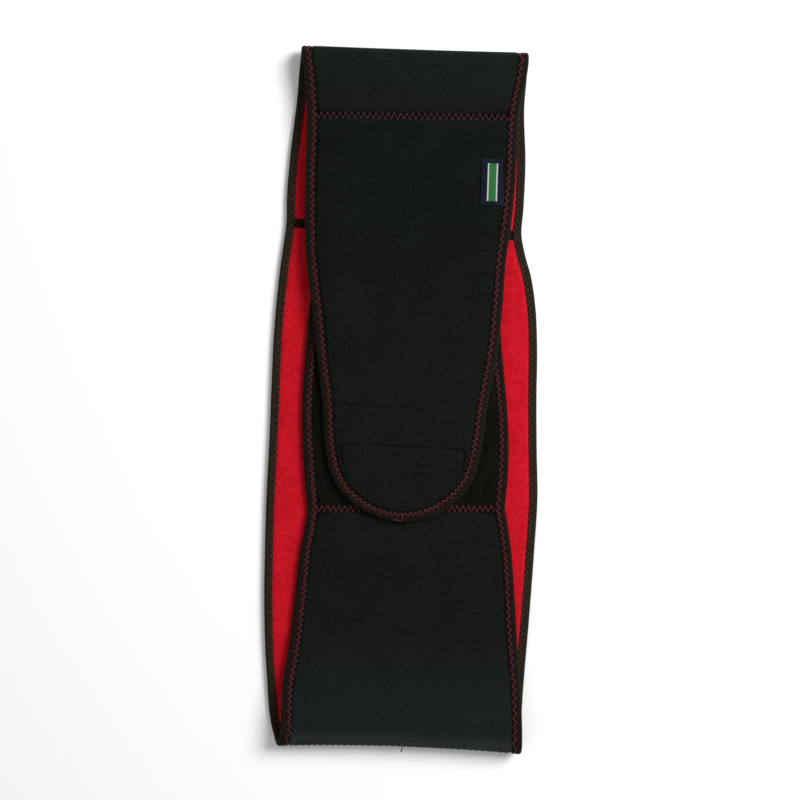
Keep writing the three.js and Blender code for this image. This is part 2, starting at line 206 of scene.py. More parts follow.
def centreline(s):
    """Place (y, z) and outward normal (ny, nz) of the inner face at s."""
    run = LOW_FOLD_S - s
    low_z, low_slope = settled(run, LOWER_SETTLE, LOOP_Z)
    front_run = s - ROOT_S
    front_z, front_slope = settled(front_run, UPPER_SETTLE, TONGUE_Z)
    low_turn = (s - LOW_FOLD_S) / FOLD_RADIUS
    top_turn = (s - TOP_FOLD_S) / FOLD_RADIUS
    stretch = [s < LOW_FOLD_S, s < BACK_S, s < TOP_FOLD_S, s < ROOT_S, s >= ROOT_S]
    low_norm = np.hypot(low_slope, 1.0)
    front_norm = np.hypot(front_slope, 1.0)
    ny = np.select(
        stretch,
        [-low_slope / low_norm, -np.sin(low_turn), 0.0 * s, np.sin(top_turn), front_slope / front_norm],
    )
    nz = np.select(
        stretch,
        [1 / low_norm, np.cos(low_turn), 0.0 * s - 1.0, -np.cos(top_turn), 1 / front_norm],
    )
    y = np.select(
        stretch,
        [
            run - FOLD_START,
            -FOLD_START + FOLD_RADIUS * ny,
            s - BACK_S - FOLD_START,
            FOLD_START + FOLD_RADIUS * ny,
            FOLD_START - front_run,
        ],
    )
    fold_z = FOLD_MID_Z + FOLD_RADIUS * nz
    z = np.select(stretch, [low_z, fold_z, 0.0 * s + THICKNESS, fold_z, front_z])
    return y, z, ny, nz


# The outline of the belt in the unrolled plan
def stretch_rows(table, start, end, way, at_start=0.0):
    """Stations between two places s. way is the direction of s along Y, at_start the first share."""
    rows = []
    for share, left, right, lean in table:
        s = start + (end - start) * abs(share - at_start)
        lift = way * lean * HALF_LENGTH
        rows.append((-left * HALF_HEIGHT, s + lift, right * HALF_HEIGHT, s - lift))
    return rows if at_start == 0.0 else rows[::-1]


def fold_seam_row():
    """The station of the seam half way round the bottom fold."""
    left = (LOWER_EDGES[0][1] + BACK_EDGES[0][1]) / 2 * HALF_HEIGHT
    right = (LOWER_EDGES[0][2] + BACK_EDGES[0][2]) / 2 * HALF_HEIGHT
    return (-left, FOLD_SEAM_S, right, FOLD_SEAM_S)


loop_rows = stretch_rows(LOOP_EDGES, 0.0, LOOP_SEAM_S, -1, 1.0)
lower_rows = stretch_rows(LOWER_EDGES, LOOP_SEAM_S, LOW_FOLD_S, -1, 1.0)
back_rows = stretch_rows(BACK_EDGES, BACK_S, BACK_SEAM_S, 1)
upper_rows = stretch_rows(UPPER_EDGES, BACK_SEAM_S, TOP_FOLD_S, 1)
root_rows = stretch_rows(ROOT_EDGES, ROOT_S, FRONT_SEAM_S, -1)
tongue_rows = stretch_rows(TONGUE_EDGES, FRONT_SEAM_S, TIP_S, -1)
stations = np.array(
    loop_rows
    + lower_rows[1:]
    + [fold_seam_row()]
    + back_rows
    + upper_rows[1:]
    + root_rows
    + tongue_rows[1:]
)
LOOP_SEAM = len(loop_rows) - 1
FOLD_SEAM = LOOP_SEAM + len(lower_rows)
BACK_SEAM = FOLD_SEAM + len(back_rows)
FRONT_SEAM = BACK_SEAM + len(upper_rows) - 1 + len(root_rows)
LAST = len(stations) - 1
SEAMS = (LOOP_SEAM, FOLD_SEAM, BACK_SEAM, FRONT_SEAM)


def side_curve(points, other):
    """Points, tangents and chords of one edge, which runs on into the other at both tips."""
    line = np.vstack([other[1:2], points, other[-2:-1]])
    steps = np.diff(line, axis=0)
    chords = np.linalg.norm(steps, axis=1)[:, None]
    slopes = steps / chords
    tangents = slopes[:-1] * chords[1:] + slopes[1:] * chords[:-1]
    return points, tangents / (chords[:-1] + chords[1:]), chords[1:-1]


CURVES = {
    "left": side_curve(stations[:, 0:2], stations[:, 2:4]),
    "right": side_curve(stations[:, 2:4], stations[:, 0:2]),
}


def edge(side, u):
    """Points of one edge, and the direction into the belt, at station numbers u."""
    points, tangents, chords = CURVES[side]
    i = np.minimum(u.astype(int), LAST - 1)
    t = (u - i)[:, None]
    a, b = points[i], points[i + 1]
    va, vb = tangents[i] * chords[i], tangents[i + 1] * chords[i]
    place = (2 * t**3 - 3 * t**2 + 1) * a + (t**3 - 2 * t**2 + t) * va
    place += (3 * t**2 - 2 * t**3) * b + (t**3 - t**2) * vb
    along = (6 * t**2 - 6 * t) * (a - b) + (3 * t**2 - 4 * t + 1) * va + (3 * t**2 - 2 * t) * vb
    along /= np.linalg.norm(along, axis=1)[:, None]
    turn = 1.0 if side == "left" else -1.0
    return place, np.stack([along[:, 1], -along[:, 0]], axis=1) * turn


def row_numbers(first, last):
    """Station numbers of the rows of a mesh between two stations, closer at folds and seams."""
    rows = set()
    for i in range(first, last):
        a, b = stations[i], stations[i + 1]
        length = max(np.hypot(*(b - a)[:2]), np.hypot(*(b - a)[2:]))
        s = (a[1] + b[1]) / 2
        at_low_fold = LOW_FOLD_S - FOLD_MARGIN < s < BACK_S + FOLD_MARGIN
        at_top_fold = TOP_FOLD_S - FOLD_MARGIN < s < ROOT_S + FOLD_MARGIN
        fine = any(low < max(a[1], b[1]) and min(a[1], b[1]) < high for low, high in FINE_STRETCHES)
        step = FINE_ROW_STEP if fine else FOLD_ROW_STEP if at_low_fold or at_top_fold else ROW_STEP
        steps = math.ceil(length / step)
        for k in range(steps + 1):
            u = i + k / steps
            here = a[1] + (b[1] - a[1]) * k / steps
            if fine and k % FINE_PER_ROW and not any(low < here < high for low, high in FINE_STRETCHES):
                continue
            beside = [abs(u - q) * length for q in SEAMS if q in (i, i + 1)]
            if not beside or min(beside) > SEAM_CLEAR:
                rows.add(round(u, 6))
        for q in (i, i + 1):
            if q in SEAMS:
                way = 1 if q == i else -1
                rows.add(float(q))
                near = [d for d in SEAM_ROWS if d < length * 0.9]
                rows.update(round(q + way * d / length, 6) for d in near)
    return np.array(sorted(rows))


def plan_grid(rows, insets, columns):
    """Plan points (x, s) and insets of a grid: rows of stations, columns from edge to edge."""
    insets = np.array(insets, dtype=float)
    left, left_in = edge("left", rows)
    right, right_in = edge("right", rows)
    near_left = left[:, None] + left_in[:, None] * insets[None, :, None]
    near_right = right[:, None] + right_in[:, None] * insets[None, ::-1, None]
    a, b = near_left[:, -1:], near_right[:, :1]
    t = np.linspace(0, 1, columns + 2)[1:-1][None, :, None]
    middle = a + (b - a) * t
    width = np.linalg.norm(b - a, axis=2)
    deep = insets[-1] + width * np.minimum(t, 1 - t)[:, :, 0]
    border = np.repeat(insets[None, :], len(rows), axis=0)
    grid = np.concatenate([near_left, middle, near_right], axis=1)
    return grid, np.concatenate([border, deep, border[:, ::-1]], axis=1)


def from_seam(q, x, s):
    """Distance along the belt from a seam, which may lean."""
    left_x, left_s, right_x, right_s = stations[q]
    return s - (left_s + (right_s - left_s) * (x - left_x) / (right_x - left_x))


# Heights of the fabric faces: where the edge tape ends, and how the fabric rises beside it
TAPE_REACH = 6.7
EDGE_SINK = 0.72
EDGE_RISE = 3.4
PUFF = 0.35
PUFF_RISE = 15
FOLD_CLEAR = 7
FOLD_FADE = 16

# Pinch of the seams: depth, width, and width on a side panel's long slope
SEAM_DEPTH = 1.15
SEAM_WIDTH = 1.5
SLOPE_WIDTH = 3.1

# The hook patch as it shows through the tongue
HOOK_INSET = 10.8
HOOK_CORNER = 5.0
HOOK_TOP_DROP = 0.5
HOOK_TOP_LEAN = 0.0167
RELIEF_DEPTH = 0.85
RELIEF_WIDTH = 0.65
RELIEF_RISE = 0.3
RELIEF_LEAST = 0.08
RELIEF_END = 27
RELIEF_FADE = 22

# A crease's half width, and the height, distance and half width of the swelling beside it
CREASE_WIDTH = 0.85
CREASE_SWELL = 0.45
SWELL_PLACE = 2.4
SWELL_WIDTH = 1.6

# How far the folds' middles lie in, and how the tongue's edges sink
LOW_BOW = 2.6
TOP_BOW = 0.5
BOW_REACH = 9.0
BOW_HALF = 90.0
TONGUE_SINK = 0.95
SINK_REACH = 17


def edge_lay(s, inset):
    """How far the whole layer sinks near its edges, where the tongue rests on less below it."""
    on_tongue = smooth((s - FRONT_SEAM_S + 20) / 40)
    return -TONGUE_SINK * on_tongue * (1 - smooth(inset / SINK_REACH))


def fold_bow(x, s):
    """How far along Y the middle of each fold lies inside the straight line of the laid end."""
    across = np.clip(1 - (x / BOW_HALF) ** 2, 0, 1)
    low = LOW_BOW * across * bell(s - FOLD_SEAM_S, BOW_REACH)
    return low - TOP_BOW * across * bell(s - TOP_MIDDLE_S, BOW_REACH)


def off_folds(s):
    """0 at the two folds and 1 along the flat stretches."""
    low = smooth((np.abs(s - FOLD_SEAM_S) - FOLD_CLEAR) / FOLD_FADE)
    return low * smooth((np.abs(s - TOP_MIDDLE_S) - FOLD_CLEAR) / FOLD_FADE)


def pinch(x, s):
    """How deep the cross seams pull the outer face down, with a long slope on the side panels."""
    depth = 0.0 * s
    for q, way in ((LOOP_SEAM, 1), (FOLD_SEAM, 0), (BACK_SEAM, 0), (FRONT_SEAM, -1)):
        far = from_seam(q, x, s) * way
        width = np.where(far > 0, SLOPE_WIDTH, SEAM_WIDTH)
        depth = np.maximum(depth, SEAM_DEPTH * bell(far if way else from_seam(q, x, s), width))
    return depth


def creases(x, s):
    """Three shallow creases across the tongue: place y of each, share that shows, depth."""
    y = TONGUE_ZERO_S - s
    lines = (
        (-6.2 + 0.0016 * (x + 15) ** 2, smooth((9 - x) / 8), 0.78),
        (-1.7 + 0.087 * (x - 20), smooth((x - 12) / 8), 0.66),
        (-9.4 + 0.02 * (x - 14), smooth((x - 4) / 6) * smooth((24 - x) / 6), 0.5),
    )
    total = 0.0 * s
    for line, share, depth in lines:
        swell = CREASE_SWELL * bell(y - line - SWELL_PLACE, SWELL_WIDTH)
        total = total + share * depth * (bell(y - line, CREASE_WIDTH) - swell)
    return total


def patch_depth(x, s, inset):
    """Distance into the outline of the hook patch, which shows through the tongue."""
    y = TONGUE_ZERO_S - s
    from_edge = inset - HOOK_INSET
    from_top = HOOK_TOP_Y - HOOK_TOP_DROP - HOOK_TOP_LEAN * x - y
    corner = HOOK_CORNER - np.hypot(
        np.maximum(HOOK_CORNER - from_edge, 0), np.maximum(HOOK_CORNER - from_top, 0)
    )
    return np.minimum(np.minimum(from_edge, from_top), corner)


def outer_height(x, s, inset):
    """Height of the outer fabric face: pinched by the binding and by the cross seams."""
    n = THICKNESS - EDGE_SINK * (1 - smooth((inset - TAPE_REACH) / EDGE_RISE))
    uneven = 0.1 * ripple(x, s, 46, 3) * smooth(inset / 12)
    n = n + off_folds(s) * (PUFF * smooth((inset - 8.5) / PUFF_RISE) + uneven)
    n = n - pinch(x, s)
    d = patch_depth(x, s, inset)
    shown = smooth((HOOK_TOP_S + RELIEF_END - s) / RELIEF_FADE)
    shown = RELIEF_LEAST + (1 - RELIEF_LEAST) * shown
    lines = shown * (RELIEF_DEPTH * bell(d, RELIEF_WIDTH) - RELIEF_RISE * smooth((d - 0.6) / 2.0))
    lines = lines + creases(x, s) * smooth((inset - 6) / 8)
    n = n - (s > FRONT_SEAM_S) * lines
    flat_back = (s > FOLD_SEAM_S) & (s < TOP_FOLD_S + 2)
    return np.where(flat_back, np.minimum(n, THICKNESS), n)


def inner_height(x, s, inset):
    """Height of the inner fabric face, which swells a little between its pinched edges."""
    n = 0.62 * (1 - smooth((inset - 5.5) / 3.6)) - 0.18 * smooth((inset - 9) / 14)
    return n + 0.06 * ripple(x, s, 38, 11) + 0.04 * ripple(x, s, 9, 12)


def place(x, s, n, inset):
    """Points in millimetres in the part's frame."""
    y, z, ny, nz = centreline(s)
    z = z + nz * n + edge_lay(s, inset)
    return np.stack([x, y + ny * n + fold_bow(x, s), z], axis=-1)


# Mesh helpers
MERGE_DISTANCE = 2e-6


def mesh_object(name, points, faces, plan, material):
    """A smooth mesh piece from points in millimetres. plan drives its material."""
    mesh = bpy.data.meshes.new(name)
    mesh.from_pydata((points.reshape(-1, 3) * MM).tolist(), [], faces)
    store = mesh.attributes.new("plan", "FLOAT_VECTOR", "POINT")
    store.data.foreach_set("vector", plan.reshape(-1).astype(np.float32))
    work = bmesh.new()
    work.from_mesh(mesh)
    bmesh.ops.remove_doubles(work, verts=work.verts, dist=MERGE_DISTANCE)
    bmesh.ops.recalc_face_normals(work, faces=work.faces)
    work.to_mesh(mesh)
    work.free()
    mesh.polygons.foreach_set("use_smooth", [True] * len(mesh.polygons))
    mesh.materials.append(material)
    piece = bpy.data.objects.new(name, mesh)
    bpy.context.scene.collection.objects.link(piece)
    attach(piece, "root")
    return piece


def ring_faces(count, size, closed=False):
    """Quads of rings of points, each ring closed on itself."""
    faces = []
    for k in range(count if closed else count - 1):
        here, there = k * size, ((k + 1) % count) * size
        for j in range(size):
            m = (j + 1) % size
            faces.append((here + j, there + j, there + m, here + m))
    return faces


def end_faces(ring, size):
    """A strip of quads across a ring whose second half runs back under its first."""
    base = ring * size
    half = size // 2
    return [(base + j, base + j + 1, base + size - 2 - j, base + size - 1 - j) for j in range(half - 1)]


def closed_sheet(name, x, s, high, low, inset, material):
    """A closed sheet between two heights over a grid of plan points."""
    top = place(x, s, high, inset)
    under = place(x, s, low, inset)
    points = np.concatenate([top, under[:, ::-1]], axis=1)
    plan_top = np.stack([x, s, high], axis=-1)
    plan_under = np.stack([x, s, low], axis=-1)
    plan = np.concatenate([plan_top, plan_under[:, ::-1]], axis=1)
    count, size = points.shape[:2]
    faces = ring_faces(count, size) + end_faces(0, size) + end_faces(count - 1, size)
    return mesh_object(name, points, faces, plan, material)


def layer(name, rows, insets, columns, outer, inner, material, gaps=(0.0, 0.0)):
    """A closed sheet between two height functions, from edge to edge of the belt."""
    grid, inset = plan_grid(rows, insets, columns)
    grid[0, :, 1] += gaps[0]
    grid[-1, :, 1] -= gaps[1]
    x, s = grid[:, :, 0], grid[:, :, 1]
    return closed_sheet(name, x, s, outer(x, s, inset), inner(x, s, inset), inset, material)


def thread(name, points, normals, radius, material):
    """A closed thread along points. Its plan is (length, angle, 0), for its twist."""
    along = np.gradient(points, axis=0)
    along /= np.linalg.norm(along, axis=1)[:, None]
    across = np.cross(along, normals)
    across /= np.linalg.norm(across, axis=1)[:, None]
    up = np.cross(across, along)
    turn = np.linspace(0, 2 * math.pi, THREAD_SIDES, endpoint=False)
    rings = points[:, None] + radius * (
        np.cos(turn)[None, :, None] * up[:, None] + np.sin(turn)[None, :, None] * across[:, None]
    )
    plan = np.zeros(rings.shape)
    plan[1:, :, 0] = np.cumsum(np.linalg.norm(np.diff(points, axis=0), axis=1))[:, None]
    plan[:, :, 1] = turn[None, :]
    faces = ring_faces(len(points), THREAD_SIDES)
    faces.append(tuple(range(THREAD_SIDES)))
    faces.append(tuple(range((len(points) - 1) * THREAD_SIDES, len(points) * THREAD_SIDES)))
    mesh_object(name, rings, faces, plan, material)


# Material helpers
class Look:
    """A node material whose textures follow the plan attribute, in millimetres."""

    def __init__(self, name, roughness, sheen=0.0, sheen_roughness=0.5, sheen_tint=(1, 1, 1), specular=0.3):
        self.material = bpy.data.materials.new(name)
        self.material.use_nodes = True
        self.nodes = self.material.node_tree.nodes
        self.links = self.material.node_tree.links
        self.shader = self.nodes["Principled BSDF"]
        self.shader.inputs["Roughness"].default_value = roughness
        self.shader.inputs["Specular IOR Level"].default_value = specular
        self.shader.inputs["Sheen Weight"].default_value = sheen
        self.shader.inputs["Sheen Roughness"].default_value = sheen_roughness
        self.shader.inputs["Sheen Tint"].default_value = (*sheen_tint, 1)
        self.plan = self.add("ShaderNodeAttribute", attribute_name="plan").outputs["Vector"]
        parts = self.add("ShaderNodeSeparateXYZ")
        self.links.new(self.plan, parts.inputs[0])
        self.x, self.s, self.n = parts.outputs

    def add(self, kind, **settings):
        node = self.nodes.new(kind)
        for key, value in settings.items():
            setattr(node, key, value)
        return node

    def put(self, node, key, value):
        if isinstance(value, bpy.types.NodeSocket):
            self.links.new(value, node.inputs[key])
        else:
            node.inputs[key].default_value = value

    def math(self, operation, a, b=0.0):
        node = self.add("ShaderNodeMath", operation=operation)
        self.put(node, 0, a)
        self.put(node, 1, b)
        return node.outputs[0]

    def noise(self, scale, detail=2.0, rough=0.5, stretch=(1, 1, 1)):
        mapping = self.add("ShaderNodeMapping")
        self.put(mapping, "Vector", self.plan)
        mapping.inputs["Scale"].default_value = stretch
        node = self.add("ShaderNodeTexNoise")
        self.put(node, "Vector", mapping.outputs[0])
        node.inputs["Scale"].default_value = scale
        node.inputs["Detail"].default_value = detail
        node.inputs["Roughness"].default_value = rough
        return node.outputs[0]

    def wave(self, value, pitch):
        """A sine between -1 and 1 that repeats each pitch along a coordinate."""
        return self.math("SINE", self.math("MULTIPLY", value, 2 * math.pi / pitch))

    def along(self, rise, fall):
        """1 along a stretch of the belt, from soft end to soft end: two places s for each."""
        return self.math("MULTIPLY", self.between(self.s, *rise), self.between(self.s, *fall))

    def between(self, value, low, high, out_low=0.0, out_high=1.0):
        node = self.add("ShaderNodeMapRange", interpolation_type="SMOOTHSTEP")
        for key, item in zip(range(5), (value, low, high, out_low, out_high)):
            self.put(node, key, item)
        return node.outputs[0]

    def blend(self, share, first, second):
        node = self.add("ShaderNodeMix", data_type="RGBA")
        self.put(node, 0, share)
        for key, colour in ((6, first), (7, second)):
            self.put(node, key, colour if isinstance(colour, bpy.types.NodeSocket) else (*colour, 1))
        return node.outputs[2]

    def finish(self, colour, heights, roughness=None):
        """heights is a list of (height, distance in millimetres)."""
        self.put(self.shader, "Base Color", colour)
        if roughness is not None:
            self.put(self.shader, "Roughness", roughness)
        normal = None
        for height, distance in heights:
            bump = self.add("ShaderNodeBump")
            bump.inputs["Distance"].default_value = distance * MM
            self.put(bump, "Height", height)
            if normal is not None:
                self.put(bump, "Normal", normal)
            normal = bump.outputs[0]
        if normal is not None:
            self.put(self.shader, "Normal", normal)
        return self.material


def knit_height(look, wale, course):
    """Columns of small loops: ribs across x, each broken into stitches along s."""
    sway = look.math("MULTIPLY", look.wave(look.s, course), 0.16 * wale)
    rib = look.wave(look.math("ADD", look.x, sway), wale)
    stitch = look.wave(look.math("ADD", look.s, look.math("MULTIPLY", rib, 0.2)), course)
    return look.math("ADD", look.math("MULTIPLY", rib, 0.6), look.math("MULTIPLY", stitch, 0.4))


# Colours in linear light, as a dark and a light tone where there are two
KNIT = ((0.0040, 0.0046, 0.0039), (0.0105, 0.0121, 0.0110))
# Lighter, bluer knit near the bottom fold: painted light where the fold turns towards the lamp
KNIT_LOW_FOLD_LIT = ((0.0064, 0.0092, 0.0092), (0.0120, 0.0162, 0.0162))
# Light grey knit on the crest of the bottom fold: a painted highlight
KNIT_FOLD_HIGHLIGHT = ((0.0220, 0.0264, 0.0238), (0.0356, 0.0426, 0.0380))
KNIT_TOP_FOLD = ((0.0046, 0.0070, 0.0054), (0.0105, 0.0146, 0.0122))
KNIT_TONGUE = ((0.0028, 0.0042, 0.0029), (0.0078, 0.0104, 0.0083))
# Near black for the outer face where it sinks into seams, creases and beside the binding: painted shade
KNIT_GROOVE_SHADE = (0.0016, 0.0017, 0.0012)
PILE = ((0.0024, 0.0024, 0.0015), (0.0046, 0.0045, 0.0031))
PILE_TIPS = (0.0092, 0.0088, 0.0068)
RED_KNIT = ((0.49, 0.0052, 0.0132), (0.56, 0.0068, 0.0178))
# Darker red in the hollows of the fluff bump: the lining's own mottle, painted darker there as shade
RED_HOLLOW_SHADE = (0.33, 0.0034, 0.0090)
RED_TUFTS = (0.64, 0.0155, 0.0280)
TAPE_TONE = ((0.0044, 0.0041, 0.0023), (0.0125, 0.0120, 0.0073))
TAPE_INNER_TONE = ((0.0115, 0.0092, 0.0048), (0.0310, 0.0250, 0.0145))
TAPE_SEWN = (0.0165, 0.0012, 0.0028)
HOOK_TONE = ((0.008, 0.008, 0.008), (0.016, 0.016, 0.015))
NAVY = ((0.0035, 0.0052, 0.0125), (0.0070, 0.0098, 0.0225))
GREEN = ((0.020, 0.115, 0.030), (0.035, 0.165, 0.045))
PALE = (0.50, 0.51, 0.52)

# Places along the edge tape's section, from its end on the outer face
TAPE_INNER_FROM = (8.5, 11.5)
TAPE_SEWN_INNER = (13.0, 14.2)
TAPE_SEWN_OUTER = (4.6, 3.4)


def fabric_look():
    look = Look(
        "foam_fabric", 0.85, sheen=0.03, sheen_roughness=0.45, sheen_tint=(0.7, 0.85, 0.9), specular=0.035
    )
    fine = look.noise(1.5, 3.0, 0.6)
    broad = look.noise(0.045, 3.0, 0.55)
    nap = look.noise(0.42, 3.0, 0.6)
    tone = look.math(
        "ADD", look.between(nap, 0.36, 0.68, 0.0, 0.42), look.between(fine, 0.4, 0.72, 0.0, 0.4)
    )
    tone = look.math("ADD", tone, look.between(broad, 0.35, 0.68, 0.0, 0.18))
    # Painted light: the knit turns lighter and bluer towards the bottom fold
    lit_low_bend = look.along((LOW_FOLD_S - 95, LOW_FOLD_S - 10), (BACK_S + 25, BACK_S))
    top_bend = look.along((TOP_FOLD_S - 25, TOP_FOLD_S), (FRONT_SEAM_S - 1, FRONT_SEAM_S - 32))
    on_tongue = look.along((FRONT_SEAM_S - 1, FRONT_SEAM_S + 1), (FRONT_SEAM_S + 230, FRONT_SEAM_S + 60))
    # Painted highlight along the crest of the bottom fold, fading out past its seam
    fold_highlight = look.math("POWER", look.between(look.s, LOW_FOLD_S - 34, FOLD_SEAM_S - 1.6), 14.0)
    fold_highlight = look.math("MULTIPLY", fold_highlight, look.between(look.s, BACK_S + 4, FOLD_SEAM_S))
    colour = look.blend(tone, *KNIT)
    for share, tones in (
        (lit_low_bend, KNIT_LOW_FOLD_LIT),
        (fold_highlight, KNIT_FOLD_HIGHLIGHT),
        (top_bend, KNIT_TOP_FOLD),
        (on_tongue, KNIT_TONGUE),
    ):
        colour = look.blend(share, colour, look.blend(tone, *tones))
    # Painted shade: where the outer face sinks below its full height the knit turns near black; the inner
    # face is left as it is
    out_of_groove_shade = look.math("MAXIMUM", look.between(look.n, 3.55, 4.5), look.between(look.n, 2.2, 1.2))
    colour = look.blend(out_of_groove_shade, KNIT_GROOVE_SHADE, colour)
    rough = look.between(fine, 0.3, 0.7, 0.74, 0.92)
    heights = [(broad, 0.5), (knit_height(look, 0.72, 0.9), 0.05), (fine, 0.28)]
    return look.finish(colour, heights, rough)


def velour_look():
    look = Look(
        "loop_velour", 0.95, sheen=0.02, sheen_roughness=0.6, sheen_tint=(0.85, 0.9, 0.8), specular=0.02
    )
    pile = look.noise(2.4, 4.0, 0.7)
    brushed = look.noise(0.16, 3.0, 0.6, (1.0, 0.35, 1.0))
    base = look.blend(look.between(brushed, 0.35, 0.65), *PILE)
    tips = look.math("MULTIPLY", look.between(pile, 0.45, 0.75), 0.6)
    colour = look.blend(tips, base, PILE_TIPS)
    rough = look.between(pile, 0.3, 0.7, 0.88, 1.0)
    return look.finish(colour, [(brushed, 0.6), (pile, 0.45)], rough)


def lining_look():
    look = Look(
        "red_lining", 0.92, sheen=0.05, sheen_roughness=0.4, sheen_tint=(1.0, 0.3, 0.35), specular=0.04
    )
    fluff = look.noise(1.7, 4.0, 0.65)
    broad = look.noise(0.06, 3.0, 0.5)
    base = look.blend(look.between(broad, 0.35, 0.65), *RED_KNIT)
    # Painted shade in the fluff's hollows, where its bump is low, over the lining's own mottle
    hollow_shade = look.math("MULTIPLY", look.between(fluff, 0.62, 0.35), 0.5)
    colour = look.blend(hollow_shade, base, RED_HOLLOW_SHADE)
    tufts = look.noise(0.25, 4.0, 0.6)
    colour = look.blend(look.between(tufts, 0.42, 0.7, 0.0, 0.45), colour, RED_TUFTS)
    rough = look.between(fluff, 0.3, 0.7, 0.8, 0.97)
    heights = [(broad, 0.6), (knit_height(look, 0.8, 0.95), 0.05), (fluff, 0.3)]
    return look.finish(colour, heights, rough)


def tape_look():
    """Ribbed tape. On the binding the plan's s is the place along its section, elsewhere s itself."""
    look = Look(
        "binding_tape", 0.75, sheen=0.03, sheen_roughness=0.4, sheen_tint=(1.0, 0.9, 0.8), specular=0.05
    )
    rib = look.wave(look.x, 0.82)
    weft = look.wave(look.s, 0.55)
    worn = look.noise(0.5, 3.0, 0.6)
    share = look.math("ADD", look.math("MULTIPLY", rib, 0.22), look.between(worn, 0.3, 0.75, 0.1, 0.75))
    on_binding = look.between(look.s, 30, 20)
    inside = look.math("MULTIPLY", look.between(look.s, *TAPE_INNER_FROM), on_binding)
    colour = look.blend(inside, look.blend(share, *TAPE_TONE), look.blend(share, *TAPE_INNER_TONE))
    sewn = look.math("MULTIPLY", look.between(look.s, *TAPE_SEWN_INNER), on_binding)
    sewn = look.math("MAXIMUM", sewn, look.between(look.s, *TAPE_SEWN_OUTER))
    colour = look.blend(look.math("MULTIPLY", sewn, 0.6), colour, TAPE_SEWN)
    rough = look.between(worn, 0.3, 0.7, 0.6, 0.82)
    return look.finish(colour, [(worn, 0.3), (rib, 0.07), (weft, 0.03)], rough)


def thread_look(name, dark, light):
    """Twisted thread. The plan's x is the length along it, and its s the angle round it."""
    look = Look(name, 0.6, sheen=0.05, sheen_roughness=0.35, specular=0.12)
    ply = look.math("ADD", look.math("MULTIPLY", look.x, 2 * math.pi / 0.85), look.s)
    twist = look.math("SINE", ply)
    uneven = look.noise(0.35, 2.0, 0.5)
    share = look.math("ADD", look.math("MULTIPLY", twist, 0.25), look.between(uneven, 0.3, 0.7, 0.2, 0.8))
    return look.finish(look.blend(share, dark, light), [(twist, 0.06)])


def hook_look():
    look = Look("hook_tape", 0.55, specular=0.2)
    rows = look.wave(look.x, 1.6)
    hooks = look.math("MULTIPLY", rows, look.wave(look.s, 1.3))
    uneven = look.noise(0.3, 2.0, 0.5)
    colour = look.blend(look.between(uneven, 0.3, 0.7), *HOOK_TONE)
    return look.finish(colour, [(hooks, 0.5)])


def label_look(low_x, high_x, low_s, high_s):
    """A navy ribbon with a green woven band between thin pale lines, and plain ends."""
    look = Look("label_weave", 0.6, sheen=0.04, sheen_roughness=0.4, specular=0.08)
    twill = look.wave(look.math("ADD", look.x, look.s), 0.55)
    weft = look.wave(look.s, 0.5)
    grain = look.between(look.noise(1.1, 3.0, 0.6), 0.3, 0.7)
    navy = look.blend(grain, *NAVY)
    green = look.blend(grain, *GREEN)
    middle = look.math("ABSOLUTE", look.math("SUBTRACT", look.x, (low_x + high_x) / 2))
    half = (high_x - low_x) / 2
    colour = look.blend(look.between(middle, half * 0.44, half * 0.41), navy, PALE)
    colour = look.blend(look.between(middle, half * 0.33, half * 0.30), colour, green)
    end = look.math("ABSOLUTE", look.math("SUBTRACT", look.s, (low_s + high_s) / 2))
    ends = look.between(end, (high_s - low_s) * 0.40, (high_s - low_s) * 0.408)
    colour = look.blend(ends, colour, navy)
    return look.finish(colour, [(twill, 0.05), (weft, 0.04)])


FABRIC = fabric_look()
VELOUR = velour_look()
RED = lining_look()
TAPE = tape_look()
HOOK = hook_look()
EDGE_THREAD = thread_look("edge_thread", (0.080, 0.0165, 0.0225), (0.160, 0.044, 0.052))
INNER_THREAD = thread_look("inner_thread", (0.052, 0.021, 0.015), (0.118, 0.058, 0.043))
SEAM_THREAD = thread_look("seam_thread", (0.055, 0.015, 0.022), (0.115, 0.036, 0.046))
DARK_THREAD = thread_look("dark_thread", (0.008, 0.007, 0.006), (0.02, 0.018, 0.016))

# Foam panels
PANEL_INSETS = (1.1, 3.5, 5.6, 6.7, 7.3, 7.9, 8.6, 9.4, 10.2, 11.0, 11.8, 12.8, 14.5)
PANEL_COLUMNS = 50
LINING_DEPTH = 1.0
LEAST_FOAM = 0.5


def panel(name, first, last, material, slot, lined, gaps):
    """One foam panel, closed on its inner face by its lining or by its own fabric."""

    def inner(x, s, inset):
        low = inner_height(x, s, inset)
        if lined:
            return low + LINING_DEPTH
        return np.maximum(low, 0.86 * (1 - smooth((inset - TAPE_REACH) / 1.5)) - 0.3)

    def outer(x, s, inset):
        return np.maximum(outer_height(x, s, inset), inner(x, s, inset) + LEAST_FOAM)

    rows = row_numbers(first, last)
    piece = layer(name, rows, PANEL_INSETS, PANEL_COLUMNS, outer, inner, material, gaps)
    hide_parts(name)


# Panels: name, first station, last station, material, slot, lined, gap at each end
for row in (
    ("back_panel", FOLD_SEAM, BACK_SEAM, FABRIC, "foam_fabric", True, (SEAM_GAP, SEAM_GAP)),
    ("upper_side_panel", BACK_SEAM, FRONT_SEAM, FABRIC, "foam_fabric", True, (SEAM_GAP, SEAM_GAP)),
    ("lower_side_panel", LOOP_SEAM, FOLD_SEAM, FABRIC, "foam_fabric", True, (SEAM_GAP, SEAM_GAP)),
    ("closure_tongue", FRONT_SEAM, LAST, FABRIC, "foam_fabric", False, (SEAM_GAP, 0.0)),
    ("loop_panel", 0, LOOP_SEAM, VELOUR, "loop_velour", False, (0.0, SEAM_GAP)),
):
    panel(*row)

